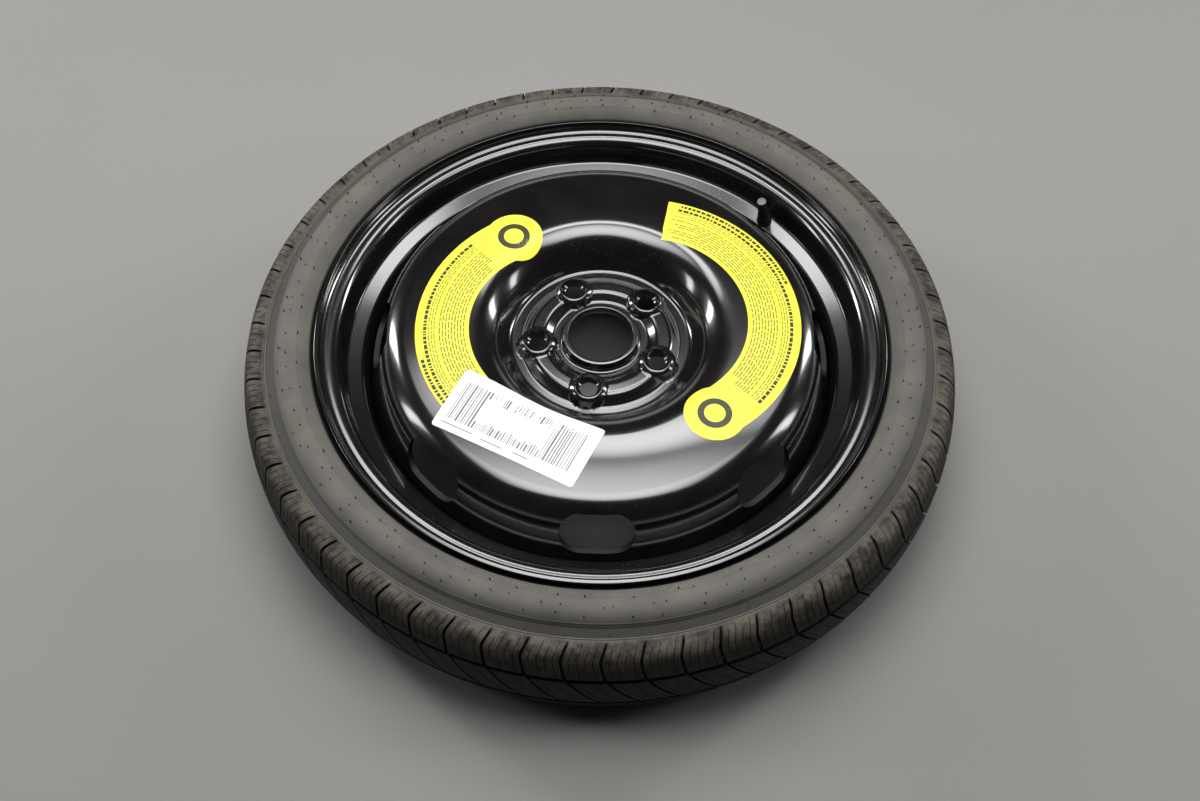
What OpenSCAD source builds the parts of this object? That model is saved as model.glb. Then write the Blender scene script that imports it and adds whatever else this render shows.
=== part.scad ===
// Space saver spare wheel: pressed disc in a narrow drop-centre rim, with its tyre, valve and stickers.
// The wheel's axis is Z, its outer face looks along +Z and its midplane is z = 0. Sizes are in mm.

/* [Rim] */
// Width between the flanges
rim_w = 88.9; // [80:0.1:100]
// Diameter of the bead seats, on the tyre's side, at the flange
seat_d = 463.2; // [461:0.2:465]
// Height of the flanges over the bead seats
flange_h = 16.7; // [15:0.1:18]
// Taper of the bead seats in degrees
seat_taper = 5; // [3:0.5:7]
// Thickness of the rim's sheet
rim_t = 3.2; // [2.6:0.1:3.8]
// How far the flange stands out past the bead face
flange_reach = 13; // [11:0.5:15]
// Depth of the drop well, from the bead seats to its inner face
well_depth = 24.6; // [22:0.1:27]
// Height of the well's outer end above the midplane
well_top = 8; // [5:0.5:10]
// Width of the well
well_w = 26; // [22:1:30]
// Slope of the ledge that carries the valve, in degrees
ledge_slope = 15; // [10:1:20]

/* [Disc] */
// Thickness of the disc's sheet
disc_t = 4.5; // [3.6:0.1:5.2]
// Height of the hub face above the midplane
hub_offset = 28; // [22:0.5:34]
// Diameter of the centre bore
bore_d = 57.1; // [54:0.1:60]
// Height of the bore's collar above the hub face
collar_h = 15.3; // [13:0.1:18]
// Height of the bolting pads above the floor of the bowl
pad_h = 7; // [5:0.5:9]
// Height of the crown above the midplane
crown_z = 62; // [58:0.5:62]
// Distance from the middle of the bolt holes to the foot of the pads
pad_reach = 14; // [13:0.5:16]
// Width of the bowl's floor outside the pads
floor_w = 10; // [7:0.5:14]
// How far the wall of the bowl leans outward
bowl_lean = 19.5; // [16:0.5:24]
// How far the outer wall leans inward
wall_lean = 18.7; // [14:0.1:22]
// Depth of the skirt below the midplane
skirt_depth = 12; // [8:0.5:15]

/* [Bolt holes] */
// Diameter of the circle of bolt holes
bolt_circle_d = 112; // [108:0.5:116]
// Number of bolt holes
bolt_count = 5; // [4:1:5]
// Diameter of the bolt holes
bolt_d = 15; // [13:0.5:16]
// Radius of the ball seats
ball_r = 13; // [12:0.5:14]
// Height of the bosses above the pads
boss_h = 2.5; // [1.5:0.1:3]
// Diameter of the bosses at their top
boss_d = 25; // [24:0.5:27]
// Angle of the first bolt hole
bolt_angle = 44.2; // [40:0.1:50]

/* [Hand holes] */
// Number of hand holes
hand_count = 8; // [6:1:8]
// Width of a hand hole
hand_w = 62; // [50:1:68]
// Radius of a hand hole's corners
hand_r = 16; // [10:1:17]
// Height of a hand hole's lower edge above the midplane
hand_low = 17; // [15:0.5:19]
// Height of a hand hole's upper edge above the midplane
hand_high = 52.7; // [50:0.1:53]

/* [Welds] */
// Length of a weld's leg
weld_leg = 4; // [3:0.5:5]
// Angle that one weld covers
weld_arc = 24; // [15:1:30]

/* [Tyre] */
// How far each sidewall stands out past its bead's face
bulge = 18.05; // [17.5:0.05:20]
// Height of the tyre's section, from the bead seats to the tread
section_h = 84.5; // [82:0.1:90]
// Radius of the crown across the tread
crown_arc = 119.3; // [110:0.5:130]
// Width of the tread from shoulder to shoulder
tread_w = 100; // [98:0.5:102]
// Radius of the shoulders
shoulder_r = 12.5; // [10:0.5:14]
// Thickness of the tyre under the middle of the tread
tread_t = 13; // [11:0.5:15]
// Thickness of the sidewalls
side_t = 6.5; // [5:0.5:8]
// Width of a bead on its seat
bead_w = 13; // [11:0.5:14]
// Play between a bead and the rim
bead_gap = 0.05; // [0.02:0.01:0.1]

/* [Tread] */
// Depth of the grooves
groove_depth = 4; // [3:0.5:5]
// Distance from the midplane to the two grooves that run round the tyre
rib_z = 21; // [18:0.5:24]
// Width of the grooves that run round the tyre
rib_groove_w = 5; // [4:0.5:7]
// Number of cross grooves on each shoulder
pitch_count = 63; // [54:1:66]
// Width of the cross grooves
cross_w = 2.2; // [1.6:0.1:3]
// Sideways width of the cross grooves' bend on the shoulders
bend_w = 8; // [5:0.5:10]
// Distance from the tread's edge to that bend
bend_drop = 10.5; // [8:0.5:13]
// Sideways step of the cross grooves from a shoulder's bend to the midplane
rib_step = 19; // [12:0.5:22]

/* [Valve] */
// Angle of the valve round the wheel
valve_angle = 45; // [0:1:90]
// Diameter of the valve hole
valve_hole_d = 11.3; // [11:0.1:12]
// Length of the valve's rubber above the ledge
rubber_h = 22; // [19:0.5:24]
// Length of the brass above the rubber
brass_h = 11; // [10:0.5:13]
// Diameter of the valve's thread
thread_d = 7.7; // [7.3:0.1:8]
// Diameter of the cap
cap_d = 9; // [8.8:0.1:10]
// Diameter of the core's pin
pin_d = 1.2; // [1:0.05:1.4]
// Travel of the pin
pin_travel = 1; // [0.8:0.1:1.2]
// Diameter of the spring's wire
spring_wire = 0.32; // [0.28:0.02:0.36]
// Play between the valve and the rim
valve_gap = 0.05; // [0.03:0.01:0.1]
// Radial play of the moving valve pieces
running_gap = 0.05; // [0.03:0.01:0.08]

/* [Stickers] */
// Inner radius of the curved stickers
sticker_in_r = 91; // [88:0.5:94]
// Width of the curved stickers
sticker_w = 46.5; // [42:0.5:48]
// Radius of the stickers' round ends
sticker_end_r = 26; // [24:0.5:28]
// Angle from a sticker's straight end to its round end
sticker_arc = 139; // [120:1:145]
// Place of the right sticker's middle to the right of the axis
right_x = 37; // [30:0.5:42]
// Place of the right sticker's middle above the axis
right_y = 4.7; // [0:0.1:8]
// Direction of the right sticker's straight end
right_end = 80; // [70:1:90]
// Place of the left sticker's middle to the left of the axis
left_x = 23.3; // [18:0.1:30]
// Place of the left sticker's middle below the axis
left_y = 4.8; // [0:0.1:8]
// Direction of the left sticker's straight end
left_end = 259; // [250:1:270]
// Place of the label's middle to the left of the axis
label_x = 66.5; // [60:0.5:72]
// Place of the label's middle below the axis
label_y = 109.9; // [104:0.1:114]
// Turn of the label
label_turn = -26.6; // [-32:0.1:-20]
// Length of the stock label
label_l = 132; // [120:1:136]
// Width of the stock label
label_w = 60; // [50:1:62]
// Thickness of the stickers and the label
film_t = 0.12; // [0.1:0.01:0.2]
// Space left for the glue
glue_t = 0.03; // [0.02:0.01:0.05]

/* [Hidden] */
$fa = 3;
$fs = 0.4;
cut = 1;

function unit(v) = v / norm(v);
function backwards(list) = [for (i = [len(list) - 1:-1:0]) list[i]];
function below(list) = [for (p = list) [p[0], -p[1]]];

// The way along a line from knot i to knot j, and half the angle between the two ways out of knot i
function way(knots, i, j) = [knots[j][0] - knots[i][0], knots[j][1] - knots[i][1]];
function half_angle(knots, i) = acos(unit(way(knots, i, i - 1)) * unit(way(knots, i, i + 1))) / 2;

// Length that the rounding of knot i takes of the lines beside it
function taken(knots, i) = i < 1 || i > len(knots) - 2 || len(knots[i]) < 3 ? 0
    : knots[i][2] / tan(half_angle(knots, i));

// Radius of the rounding of knot i, limited by the walls beside it
function fitted(knots, i) = knots[i][2] * min(1,
    0.98 * norm(way(knots, i, i - 1)) / (taken(knots, i) + taken(knots, i - 1)),
    0.98 * norm(way(knots, i, i + 1)) / (taken(knots, i) + taken(knots, i + 1)));

// Points of the arc that rounds knot i, one each 6 degrees
function corner(knots, i) =
    let (
        u = unit(way(knots, i, i - 1)),
        v = unit(way(knots, i, i + 1)),
        half = half_angle(knots, i),
        bend = fitted(knots, i),
        knot = [knots[i][0], knots[i][1]],
        middle = knot + unit(u + v) * bend / sin(half),
        start = knot + u * bend / tan(half) - middle,
        turn = (180 - 2 * half) * sign(u[1] * v[0] - u[0] * v[1]),
        steps = ceil(abs(turn) / 6)
    )
    [for (k = [0:steps]) middle + bend * [cos(atan2(start[1], start[0]) + turn * k / steps),
        sin(atan2(start[1], start[0]) + turn * k / steps)]];

// Points of a line through knots [r, z, radius of the rounding]
function rounded(knots) = [for (i = [0:len(knots) - 1])
    each (taken(knots, i) == 0 ? [[knots[i][0], knots[i][1]]] : corner(knots, i))];

// The same line moved sideways by t, to the left of its direction
function shifted(line, t) = [for (i = [0:len(line) - 1])
    let (
        d1 = unit(line[max(i, 1)] - line[max(i, 1) - 1]),
        d2 = unit(line[min(i + 1, len(line) - 1)] - line[min(i, len(line) - 2)]),
        n1 = [-d1[1], d1[0]],
        n2 = [-d2[1], d2[0]]
    )
    line[i] + (n1 + n2) * t / (1 + n1 * n2)];

// Rim: the side of its sheet that faces the axis, from the flange's tip to the well
flange_z = rim_w / 2 + rim_t;
flange_bend = 6.3;
heel_bend = 9.7;
flange_in_r = seat_d / 2 + flange_h - rim_t;
well_r = seat_d / 2 - well_depth;
ledge_in_r = well_r + 3.5;
ledge_in_z = well_top + 11;
function seat_r(z) = seat_d / 2 - rim_t / cos(seat_taper) - (rim_w / 2 - z) * tan(seat_taper);
function ledge_z(r) = ledge_in_z + (r - ledge_in_r) * tan(ledge_slope);
ledge_out_r = seat_r(ledge_in_z + 4.3);
function bead_knots(high, low) = [
    [flange_in_r, high],
    [flange_in_r, flange_z, flange_bend],
    [seat_r(flange_z), flange_z, heel_bend],
    [seat_r(low), low]];
outer_half = concat(
    [for (i = [0:2]) bead_knots(rim_w / 2 + flange_reach, 0)[i]],
    [[ledge_out_r, ledge_z(ledge_out_r), 5], [ledge_in_r, ledge_in_z, 5], [well_r, well_top, 10]]);
inner_half = [
    [well_r, well_top - well_w, 8],
    [seat_r(26) - 3, well_top - well_w - 8, 6],
    [seat_r(28), -28, 6],
    [seat_r(flange_z), -flange_z, heel_bend],
    [flange_in_r, -flange_z, flange_bend],
    [flange_in_r, -rim_w / 2 - flange_reach]];
rim_line = rounded(concat(outer_half, inner_half));

// Disc: the outer face of its sheet, from the bore's collar to the foot of the skirt
bowl_z = hub_offset + disc_t;
valley_z = bowl_z + 2;
pad_z = bowl_z + pad_h;
collar_r = bore_d / 2 + disc_t;
collar_z = hub_offset + collar_h;
bolt_r = bolt_circle_d / 2;
bowl_r = bolt_r + pad_reach + floor_w;
crown_in_r = bowl_r + bowl_lean;
crown_out_r = well_r - wall_lean;
disc_line = rounded([
    [collar_r, collar_z],
    [collar_r, valley_z, 3.5],
    [bolt_r - pad_reach, valley_z, 6],
    [bolt_r - 6, pad_z, 8],
    [bolt_r + 6, pad_z, 8],
    [bolt_r + pad_reach, bowl_z, 4],
    [bowl_r, bowl_z, 6],
    [crown_in_r, crown_z, 35],
    [(crown_in_r + crown_out_r) / 2 - 4, crown_z, 317],
    [crown_out_r, crown_z - 3.8, 28.5],
    [well_r, 3, 10],
    [well_r, -skirt_depth]]);
boss_top = pad_z + boss_h;
ball_z = boss_top + sqrt(ball_r * ball_r - pow(boss_d / 2 - 1, 2));

// Tyre: half of its outer outline from the middle of the tread to the toe of the bead
tyre_r = seat_d / 2 + section_h;
crown_mid = tyre_r - crown_arc;
shoulder_z = tread_w / 2 - shoulder_r;
shoulder_tilt = asin(shoulder_z / (crown_arc - shoulder_r));
shoulder_mid = crown_mid + (crown_arc - shoulder_r) * cos(shoulder_tilt);
shoulder_in = shoulder_mid - 3.4;
lip_z = flange_z + flange_bend + 0.5;
function tread_line(d, steps) = concat(
    [for (i = [0:steps]) let (a = shoulder_tilt * i / steps)
        [crown_mid, 0] + (crown_arc + d) * [cos(a), sin(a)]],
    [for (i = [1:steps]) let (a = shoulder_tilt + (90 - shoulder_tilt) * i / steps)
        [shoulder_mid, shoulder_z] + (shoulder_r + d) * [cos(a), sin(a)]],
    [[shoulder_in, tread_w / 2 + d]]);
bead_line = shifted(rounded(bead_knots(lip_z, rim_w / 2 - bead_w)), rim_t + bead_gap);
belly = rim_w / 2 + bulge;
side_line = rounded([
    [shoulder_in, tread_w / 2],
    [shoulder_in - 3.2, tread_w / 2 - 0.6, 1],
    [shoulder_in - 10, tread_w / 2 + 3.5, 12],
    [flange_in_r + 32.4, belly, 15],
    [flange_in_r + 13, belly, 20],
    [bead_line[0][0] + 2, bead_line[0][1]]]);
lining = rounded([
    bead_line[len(bead_line) - 1],
    [seat_r(0) + 12, rim_w / 2 - bead_w + 2, 4],
    [flange_in_r + 7, flange_z - 1, 8],
    [flange_in_r + 22, belly - side_t, 10],
    [shoulder_in - 7, tread_w / 2 - side_t + 1, 10],
    [shoulder_mid + 2, shoulder_z - side_t, 8],
    [tyre_r - tread_t, 12, 40],
    [tyre_r - tread_t, 0]]);
rib_groove_r = crown_mid + sqrt(crown_arc * crown_arc - rib_z * rib_z) - groove_depth - 0.5;
tyre_half = concat(tread_line(0, 5), [for (i = [1:len(side_line) - 1]) side_line[i]], bead_line,
    [for (i = [1:len(lining) - 1]) lining[i]]);

// Valve: heights are along its own axis, from the face of the ledge
valve_r = (ledge_in_r + ledge_out_r) / 2;
hole_r = valve_hole_d / 2;
stem_r = thread_d / 2;
stem_low_r = stem_r - 0.9;
stem_top = rubber_h + brass_h;
bulb_h = 9;
core_r = stem_r - 1.25;
core_z = rubber_h - 1.5;
seat_z = core_z - 2;
barrel_top = stem_top - 1.5;
pin_r = pin_d / 2;
pin_hole_r = pin_r + running_gap;
gland_r = core_r - 0.9;
spring_room_r = core_r - 0.7;
spring_low = core_z + 2;
collar_low = barrel_top - pin_travel - 1;
pin_top = barrel_top + pin_travel;
spring_r = (pin_hole_r + spring_room_r) / 2;
spring_turns = 5;
cap_in_r = stem_r + running_gap;
cap_low = rubber_h + 0.3;
seal_h = 0.9;
cap_ceiling = stem_top + seal_h + running_gap;
cap_top = cap_ceiling + 1.15;

// Rim

module rim() {
    color("dimgray")
    difference() {
        rotate_extrude() polygon(concat(rim_line, backwards(shifted(rim_line, rim_t))));
        at_valve() translate([0, 0, -3 * rim_t]) cylinder(r = hole_r, h = 6 * rim_t);
    }
}

// Disc

module disc() {
    color("black")
    difference() {
        union() {
            rotate_extrude() polygon(concat(disc_line, backwards(shifted(disc_line, -disc_t))));
            difference() {
                at_bolts() boss();
                rotate_extrude() under_bosses();
            }
        }
        at_bolts() bolt_cut();
        hand_holes();
    }
}

// What lies deeper than half the sheet's thickness between the valley and the bowl
module under_bosses() {
    low_line = shifted(disc_line, -disc_t / 2);
    under = [for (p = low_line) if (p[0] > collar_r + 2 && p[0] < bowl_r && p[1] < pad_z) p];
    polygon(concat([[collar_r, hub_offset - cut], [collar_r, valley_z - disc_t / 2]], under,
        [[bowl_r, bowl_z - disc_t / 2], [bowl_r, hub_offset - cut]]));
}

module at_bolts() {
    for (i = [0:bolt_count - 1])
        rotate([0, 0, bolt_angle + i * 360 / bolt_count]) translate([bolt_r, 0, 0]) children();
}

module boss() {
    foot_r = boss_d / 2 + 5;
    rotate_extrude() polygon(rounded([
        [0, boss_top],
        [boss_d / 2, boss_top, 1],
        [foot_r - 1.2, pad_z, 2],
        [foot_r, bowl_z - 2],
        [0, bowl_z - 2]]));
}

module bolt_cut() {
    room_r = boss_d / 2;
    translate([0, 0, ball_z]) sphere(r = ball_r);
    cylinder(r = bolt_d / 2, h = boss_top);
    rotate_extrude() polygon([
        [0, hub_offset - cut],
        [room_r, hub_offset - cut],
        [room_r, bowl_z],
        [room_r - 3, pad_z - disc_t + 0.6],
        [0, pad_z - disc_t + 0.6]]);
}

module hand_holes() {
    high = hand_high - hand_low;
    for (i = [0:hand_count - 1])
        rotate([0, 0, i * 360 / hand_count])
        translate([crown_out_r - 15, 0, (hand_high + hand_low) / 2])
        rotate([90, 0, 90])
        linear_extrude(height = 40) {
            square([hand_w - 2 * hand_r, high], center = true);
            square([hand_w, high - 2 * hand_r], center = true);
            for (x = [-1, 1], y = [-1, 1])
                translate([x * (hand_w / 2 - hand_r), y * (high / 2 - hand_r)]) circle(r = hand_r);
        }
}

module weld_seams() {
    color("black")
    for (i = [0:hand_count - 1])
        rotate([0, 0, (i + 0.5) * 360 / hand_count - weld_arc / 2])
        rotate_extrude(angle = weld_arc)
        polygon([[well_r, -skirt_depth], [well_r, -skirt_depth - weld_leg], [well_r - weld_leg, -skirt_depth]]);
}

// Tyre

module tyre() {
    color([0.16, 0.16, 0.16])
    difference() {
        rotate_extrude() polygon(concat(tyre_half, backwards(below(tyre_half))));
        for (side = [-1, 1])
            rotate_extrude() translate([rib_groove_r, side * rib_z - rib_groove_w / 2])
                square([3 * groove_depth, rib_groove_w]);
        cross_grooves();
    }
}

// A cross groove bends on the shoulder and slants over the middle to the other shoulder, turned half round
module cross_grooves() {
    bend_z = tread_w / 2 - bend_drop;
    upper = [[bend_w / 2, tread_w / 2 + 2], [bend_w / 2, tread_w / 2 - 2], [-bend_w / 2, bend_z],
        [bend_w / 2 - 1, rib_z]];
    middle = concat(upper, [for (p = backwards(upper)) [2 * rib_step - bend_w - p[0], -p[1]]]);
    outline = concat([for (p = middle) p + [cross_w / 2, 0]], [for (p = backwards(middle)) p - [cross_w / 2, 0]]);
    intersection() {
        rotate_extrude() groove_zone();
        for (i = [0:pitch_count - 1])
            rotate([0, 0, i * 360 / pitch_count])
            translate([shoulder_in - 6, bend_w / 2 - rib_step, 0])
            rotate([90, 0, 90])
            linear_extrude(height = tyre_r - shoulder_in + 10) polygon(outline);
    }
}

module groove_zone() {
    zone = concat(backwards(tread_line(cut, 2)), tread_line(-groove_depth, 2));
    polygon(zone);
    polygon(below(zone));
}

// Valve

module at_valve() {
    rotate([0, 0, valve_angle]) translate([valve_r, 0, ledge_z(valve_r)]) rotate([0, -ledge_slope, 0]) children();
}

module valve_body() {
    color([0.1, 0.1, 0.1])
    at_valve() rotate_extrude() polygon([
        [stem_low_r, -rim_t - bulb_h],
        [hole_r + 0.6, -rim_t - bulb_h],
        [hole_r + 2, -rim_t - 5],
        [hole_r + 0.4, -rim_t - 0.8],
        [hole_r + 0.3, -rim_t - 4 * valve_gap],
        [hole_r - valve_gap, -rim_t - 4 * valve_gap],
        [hole_r - valve_gap, 3 * valve_gap],
        [hole_r + 1.2, 0.8],
        [hole_r + 1.4, 2.4],
        [hole_r + 0.6, 5],
        [stem_r + 0.6, rubber_h - 2],
        [stem_r + 0.2, rubber_h],
        [stem_low_r, rubber_h]]);
}

module valve_stem() {
    color("goldenrod")
    at_valve() difference() {
        rotate_extrude() polygon([
            [0, -rim_t - bulb_h],
            [stem_low_r, -rim_t - bulb_h],
            [stem_low_r, rubber_h],
            [stem_r, rubber_h],
            [stem_r, stem_top - 0.5],
            [stem_r - 0.5, stem_top],
            [0, stem_top]]);
        translate([0, 0, -rim_t - bulb_h - cut]) cylinder(r = core_r - 0.5, h = stem_top + bulb_h + rim_t);
        translate([0, 0, core_z]) cylinder(r = core_r, h = stem_top);
    }
}

module core_barrel() {
    color("khaki")
    at_valve() difference() {
        rotate_extrude() polygon([
            [0, seat_z],
            [gland_r, seat_z],
            [gland_r, spring_low - 0.5],
            [core_r, spring_low - 0.5],
            [core_r, barrel_top],
            [0, barrel_top]]);
        translate([0, 0, seat_z - cut]) cylinder(r = pin_hole_r, h = stem_top);
        translate([0, 0, spring_low]) cylinder(r = spring_room_r, h = stem_top);
    }
}

module core_gasket() {
    color("firebrick")
    at_valve() translate([0, 0, core_z]) difference() {
        cylinder(r = core_r, h = spring_low - 0.5 - core_z);
        translate([0, 0, -cut]) cylinder(r = gland_r, h = stem_top);
    }
}

module core_pin() {
    color("gold")
    at_valve() {
        rotate_extrude() polygon([
            [0, seat_z - 3],
            [pin_r, seat_z - 3],
            [pin_r, collar_low],
            [spring_room_r - 2 * running_gap, collar_low],
            [spring_room_r - 2 * running_gap, collar_low + 0.6],
            [pin_r, collar_low + 1],
            [pin_r, pin_top],
            [0, pin_top]]);
    }
}

module core_cup() {
    color("darkgoldenrod")
    at_valve() translate([0, 0, seat_z - 2]) difference() {
        cylinder(r = gland_r + 0.1, h = 2);
        translate([0, 0, -cut]) cylinder(r = pin_r, h = 4);
    }
}

// A round wire wound as a helix, with six sides and ten rings a turn
module core_spring() {
    sides = 6;
    rings = 10 * spring_turns;
    low = spring_low + spring_wire / 2;
    rise = (collar_low - spring_low - spring_wire) / rings;
    points = [for (i = [0:rings], k = [0:sides - 1])
        let (turn = i * 36, around = k * 360 / sides, reach = spring_r + spring_wire / 2 * cos(around))
        [reach * cos(turn), reach * sin(turn), low + i * rise + spring_wire / 2 * sin(around)]];
    walls = [for (i = [0:rings - 1], k = [0:sides - 1])
        let (a = i * sides + k, b = i * sides + (k + 1) % sides) [b, a, a + sides, b + sides]];
    ends = [[for (k = [0:sides - 1]) k], [for (k = [sides - 1:-1:0]) rings * sides + k]];
    color("silver") at_valve() polyhedron(points, concat(walls, ends));
}

module valve_cap() {
    color([0.15, 0.15, 0.15])
    at_valve() difference() {
        rotate_extrude() polygon(rounded([
            [0, cap_low],
            [cap_d / 2, cap_low],
            [cap_d / 2 - 0.2, cap_top, 0.7],
            [0, cap_top]]));
        translate([0, 0, cap_low - cut]) cylinder(r = cap_in_r, h = cap_ceiling - cap_low + cut);
    }
}

module cap_seal() {
    color("maroon")
    at_valve() translate([0, 0, stem_top]) cylinder(r = stem_r - running_gap, h = seal_h);
}

// Stickers: films that follow the face of the disc

module on_crown(lift) {
    line = [for (p = disc_line) if (p[0] > bowl_r + 6 && p[0] < crown_out_r - 2 && p[1] > bowl_z + 3) p];
    intersection() {
        rotate_extrude() polygon(concat(shifted(line, lift), backwards(shifted(line, lift + film_t))));
        translate([0, 0, bowl_z]) linear_extrude(height = crown_z) children();
    }
}

// A band round its own middle from its straight end at the given angle, clockwise to its round end
module sticker_outline(middle, straight_at) {
    band_r = sticker_in_r + sticker_w / 2;
    round_at = straight_at - sticker_arc;
    translate(middle) {
        intersection() {
            difference() {
                circle(r = sticker_in_r + sticker_w);
                circle(r = sticker_in_r);
            }
            polygon(concat([[0, 0]], [for (i = [0:4]) 2 * band_r * [cos(round_at + sticker_arc * i / 4),
                sin(round_at + sticker_arc * i / 4)]]));
        }
        translate(band_r * [cos(round_at), sin(round_at)]) circle(r = sticker_end_r);
    }
}

module speed_sticker_right() {
    color("yellow") on_crown(glue_t) sticker_outline([right_x, right_y], right_end);
}

module speed_sticker_left() {
    color("yellow") on_crown(glue_t) sticker_outline([-left_x, -left_y], left_end);
}

module stock_label() {
    color("white") on_crown(film_t + 2 * glue_t)
        translate([-label_x, -label_y]) rotate([0, 0, label_turn]) square([label_l, label_w], center = true);
}

rim();
disc();
weld_seams();
tyre();
valve_body();
valve_stem();
core_barrel();
core_gasket();
core_pin();
core_cup();
core_spring();
valve_cap();
cap_seal();
speed_sticker_left();
speed_sticker_right();
stock_label();
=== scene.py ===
# Temporary spare wheel on a grey studio floor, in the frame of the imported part.
# Shapes are worked out in mm and become metres when a mesh is made.
import math
import bpy
import numpy as np
from mathutils import Matrix, Vector
from mathutils.geometry import delaunay_2d_cdt


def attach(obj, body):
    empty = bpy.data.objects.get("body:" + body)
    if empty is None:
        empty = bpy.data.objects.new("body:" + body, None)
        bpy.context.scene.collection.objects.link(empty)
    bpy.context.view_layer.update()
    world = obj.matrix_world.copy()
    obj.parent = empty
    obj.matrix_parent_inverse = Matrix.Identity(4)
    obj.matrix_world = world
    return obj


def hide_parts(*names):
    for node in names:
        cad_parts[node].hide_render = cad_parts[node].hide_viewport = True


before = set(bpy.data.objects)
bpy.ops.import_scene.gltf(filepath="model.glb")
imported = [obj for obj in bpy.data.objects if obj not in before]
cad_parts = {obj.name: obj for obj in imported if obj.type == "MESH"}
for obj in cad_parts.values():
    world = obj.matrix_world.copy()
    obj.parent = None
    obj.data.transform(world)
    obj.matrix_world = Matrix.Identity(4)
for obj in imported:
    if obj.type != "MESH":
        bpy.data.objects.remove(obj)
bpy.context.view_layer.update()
mm = 0.001
print("frame loaded,", len(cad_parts), "nodes")


# Outlines

# Knots are (radius, height, rounding), and a rounding gets one step for so many degrees
def rounded(knots, degrees=3.0):
    line = [np.array(knots[0][:2], float)]
    for before, knot, after in zip(knots, knots[1:], knots[2:]):
        a, b, c = (np.array(k[:2], float) for k in (before, knot, after))
        if len(knot) < 3:
            line.append(b)
            continue
        u = (a - b) / np.linalg.norm(a - b)
        v = (c - b) / np.linalg.norm(c - b)
        half = math.acos(np.clip(u @ v, -1, 1)) / 2
        middle = b + (u + v) / np.linalg.norm(u + v) * knot[2] / math.sin(half)
        start = b + u * knot[2] / math.tan(half) - middle
        end = b + v * knot[2] / math.tan(half) - middle
        first = math.atan2(start[1], start[0])
        turn = (math.atan2(end[1], end[0]) - first + math.pi) % math.tau - math.pi
        steps = max(2, math.ceil(abs(math.degrees(turn)) / degrees))
        for i in range(steps + 1):
            angle = first + turn * i / steps
            line.append(middle + knot[2] * np.array([math.cos(angle), math.sin(angle)]))
    line.append(np.array(knots[-1][:2], float))
    return np.array(line)


# Normals to the left of the line, made longer at a bend so that a shifted line keeps its distance
def sideNormals(line):
    step = np.diff(line, axis=0)
    step /= np.linalg.norm(step, axis=1)[:, None]
    n = np.stack([-step[:, 1], step[:, 0]], axis=1)
    n = np.vstack([n[:1], (n[:-1] + n[1:]) / (1 + (n[:-1] * n[1:]).sum(1))[:, None], n[-1:]])
    return n


def shifted(line, t):
    return line + sideNormals(line) * t


def resampled(line, longest):
    out = [line[0]]
    for a, b in zip(line[:-1], line[1:]):
        parts = max(1, math.ceil(np.linalg.norm(b - a) / longest))
        out += [a + (b - a) * (i + 1) / parts for i in range(parts)]
    return np.array(out)


# Meshes

def makeObject(name, points, faces, material, sharp=35):
    mesh = bpy.data.meshes.new(name)
    mesh.from_pydata([tuple(p) for p in np.asarray(points) * mm], [], faces)
    mesh.validate()
    mesh.update()
    mesh.shade_smooth()
    mesh.set_sharp_from_angle(angle=math.radians(sharp))
    piece = bpy.data.objects.new(name, mesh)
    bpy.context.collection.objects.link(piece)
    piece.data.materials.append(material)
    return piece


def gridFaces(rows, columns, closedRows=False, closedColumns=True):
    faces = []
    for i in range(rows if closedRows else rows - 1):
        for j in range(columns if closedColumns else columns - 1):
            a, b = i * columns + j, i * columns + (j + 1) % columns
            c, d = (i + 1) % rows * columns + (j + 1) % columns, (i + 1) % rows * columns + j
            faces.append((a, b, c, d))
    return faces


def numberedFrom(start, faces):
    return [tuple(start + n for n in face) for face in faces]


def revolved(name, outline, count, material, sharp=35):
    angles = np.arange(count) * math.tau / count
    outline = np.asarray(outline)
    r, z = outline[:, 0][:, None], outline[:, 1][:, None]
    points = np.stack([r * np.cos(angles), r * np.sin(angles), z + 0 * angles], axis=2).reshape(-1, 3)
    faces = gridFaces(len(outline), count, closedRows=True)
    if signedArea(outline) < 0:
        faces = [f[::-1] for f in faces]
    return makeObject(name, points, faces, material, sharp)


def signedArea(outline):
    r, z = outline[:, 0], outline[:, 1]
    return (r * np.roll(z, -1) - np.roll(r, -1) * z).sum() / 2


def cutFrom(piece, cutters):
    for cutter in cutters:
        change = piece.modifiers.new("cut", "BOOLEAN")
        change.operation, change.object, change.solver = "DIFFERENCE", cutter, "EXACT"
        change.material_mode = "TRANSFER"
    bpy.context.view_layer.update()
    seen = piece.evaluated_get(bpy.context.evaluated_depsgraph_get())
    mesh = bpy.data.meshes.new_from_object(seen)
    piece.modifiers.clear()
    old = piece.data
    piece.data = mesh
    bpy.data.meshes.remove(old)
    for cutter in cutters:
        bpy.data.objects.remove(cutter)


# Materials

def toLinear(code):
    parts = [int(code[i:i + 2], 16) / 255 for i in (1, 3, 5)]
    return tuple(c / 12.92 if c <= 0.04045 else ((c + 0.055) / 1.055) ** 2.4 for c in parts) + (1.0,)


def addNode(tree, kind, links=(), **settings):
    node = tree.nodes.new(kind)
    for key, value in settings.items():
        if hasattr(node, key):
            setattr(node, key, value)
        else:
            node.inputs[key.replace("_", " ")].default_value = value
    for socket, source in links:
        tree.links.new(source, node.inputs[socket])
    return node


def newMaterial(name, **settings):
    material = bpy.data.materials.new(name)
    material.use_nodes = True
    shader = material.node_tree.nodes["Principled BSDF"]
    for key, value in settings.items():
        shader.inputs[key.replace("_", " ")].default_value = value
    return material, material.node_tree, shader


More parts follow.
